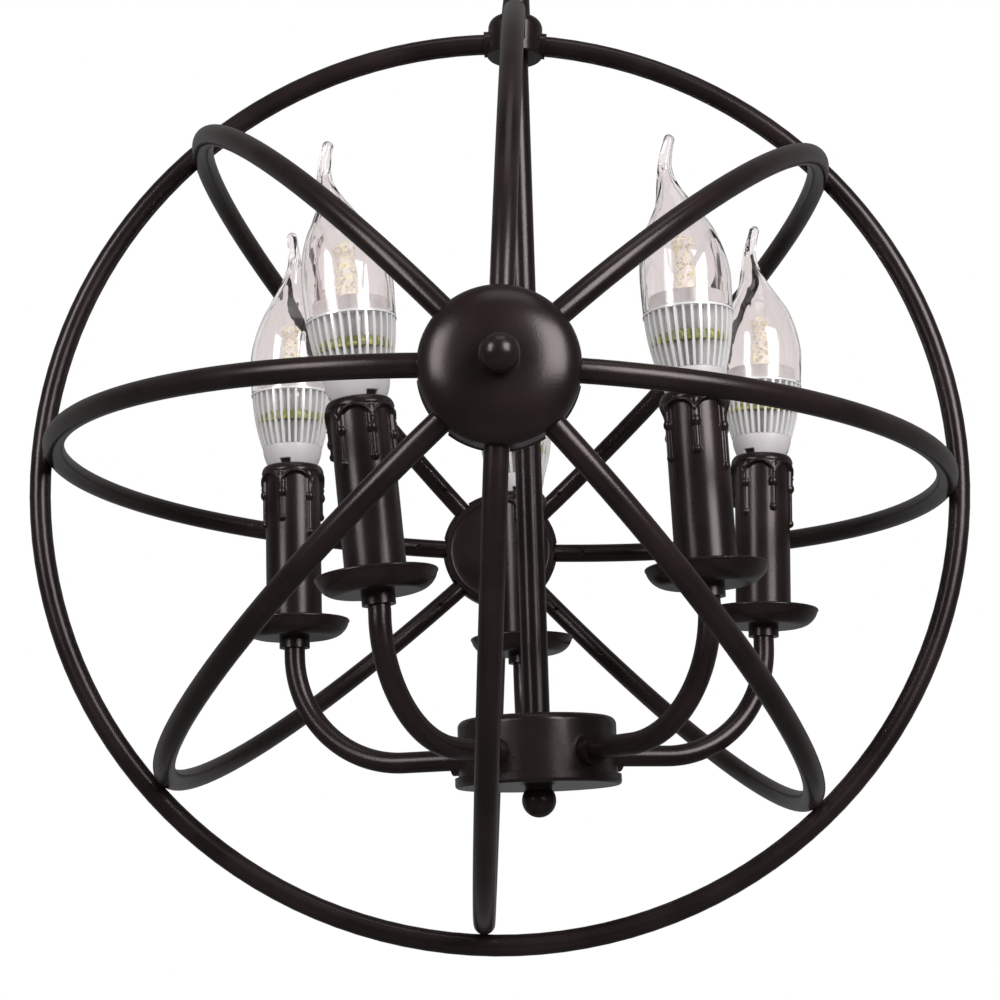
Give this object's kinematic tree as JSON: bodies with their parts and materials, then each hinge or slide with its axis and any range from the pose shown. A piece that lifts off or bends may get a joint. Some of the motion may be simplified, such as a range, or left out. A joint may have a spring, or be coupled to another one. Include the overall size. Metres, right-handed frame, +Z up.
{
  "type": "orb chandelier",
  "caption": "Round cage of dark tubes with a centre stem and curved arms that carry candle lights, hung from an eye.",
  "frame": {"origin": "centre of the hanging eye, on the axis of its hole", "axes": "+Z up, -Y towards the viewer along the hole of the eye and the axis through both cups, +X right"},
  "size_m": [0.45, 0.464, 0.4946],
  "materials": {
    "black_coat": "satin black-brown powder coat",
    "zinc_steel": "zinc plated",
    "white_plastic": "gloss white",
    "wire_sleeve": "matt black",
    "polished_aluminium": "bright cast and polished",
    "clear_glass": "clear"
  },
  "bodies": {
    "cage": {"equator_ring": "black_coat", "arc_000": "black_coat", "arc_045": "black_coat", "arc_135": "black_coat", "arc_180": "black_coat", "arc_225": "black_coat", "arc_270": "black_coat", "arc_315": "black_coat", "top_arc_front": "black_coat", "top_arc_rear": "black_coat", "front_cup": "black_coat", "rear_cup": "black_coat", "front_spider": "black_coat", "rear_spider": "black_coat", "grub_screws": "zinc_steel", "front_finial": "black_coat", "finial_nut": "zinc_steel", "top_hub": "black_coat", "hub_collars": "black_coat", "hanging_loop": "black_coat"},
    "cluster": {"stem": "black_coat", "stem_nipples": "zinc_steel", "nipple_nuts": "zinc_steel", "hub_cup": "black_coat", "hub_cover": "black_coat", "tie_rod": "zinc_steel", "terminal_block": "white_plastic", "wiring": "wire_sleeve", "arm_collars": "black_coat", "arm_nuts": "zinc_steel", "drip_pans": "black_coat", "pan_nuts": "black_coat", "lamp_holders": "white_plastic", "arm_a": "black_coat", "arm_b": "black_coat", "arm_d": "black_coat", "arm_e": "black_coat", "arm_c": "black_coat", "candle_cover_a": "black_coat", "candle_cover_b": "black_coat", "candle_cover_d": "black_coat", "candle_cover_e": "black_coat", "candle_cover_c": "black_coat"},
    "bottom_finial": {"bottom_finial": "black_coat"},
    "bulb_a": {"bulb_a_base": "white_plastic", "bulb_a_body": "polished_aluminium", "bulb_a_glass": "clear_glass"},
    "bulb_b": {"bulb_b_base": "white_plastic", "bulb_b_body": "polished_aluminium", "bulb_b_glass": "clear_glass"},
    "bulb_d": {"bulb_d_base": "white_plastic", "bulb_d_body": "polished_aluminium", "bulb_d_glass": "clear_glass"},
    "bulb_e": {"bulb_e_base": "white_plastic", "bulb_e_body": "polished_aluminium", "bulb_e_glass": "clear_glass"},
    "bulb_c": {"bulb_c_base": "white_plastic", "bulb_c_body": "polished_aluminium", "bulb_c_glass": "clear_glass"}
  },
  "joints": [
    {"name": "cluster_turn", "type": "hinge", "parent": "cage", "child": "cluster", "pos_m": [0, 0, -0.0367], "axis": [-0.0628, 0, 0.998], "range_deg": [-170, 170]},
    {"name": "bulb_a_lift", "type": "slide", "parent": "cluster", "child": "bulb_a", "axis": [-0.1409, -0.0027, 0.99], "range_m": [0, 0.022]},
    {"name": "bulb_b_lift", "type": "slide", "parent": "cluster", "child": "bulb_b", "axis": [-0.0889, -0.0009, 0.996], "range_m": [0, 0.022]},
    {"name": "bulb_d_lift", "type": "slide", "parent": "cluster", "child": "bulb_d", "axis": [-0.021, 0.0015, 0.9998], "range_m": [0, 0.022]},
    {"name": "bulb_e_lift", "type": "slide", "parent": "cluster", "child": "bulb_e", "axis": [-0.0628, 0, 0.998], "range_m": [0, 0.022]},
    {"name": "bulb_c_lift", "type": "slide", "parent": "cluster", "child": "bulb_c", "axis": [-0.0628, 0, 0.998], "range_m": [0, 0.022]},
    {"name": "bottom_finial_turn", "type": "hinge", "parent": "cluster", "child": "bottom_finial", "pos_m": [0.02346, 0, -0.40966], "axis": [-0.0628, 0, 0.998], "continuous": true}
  ]
}
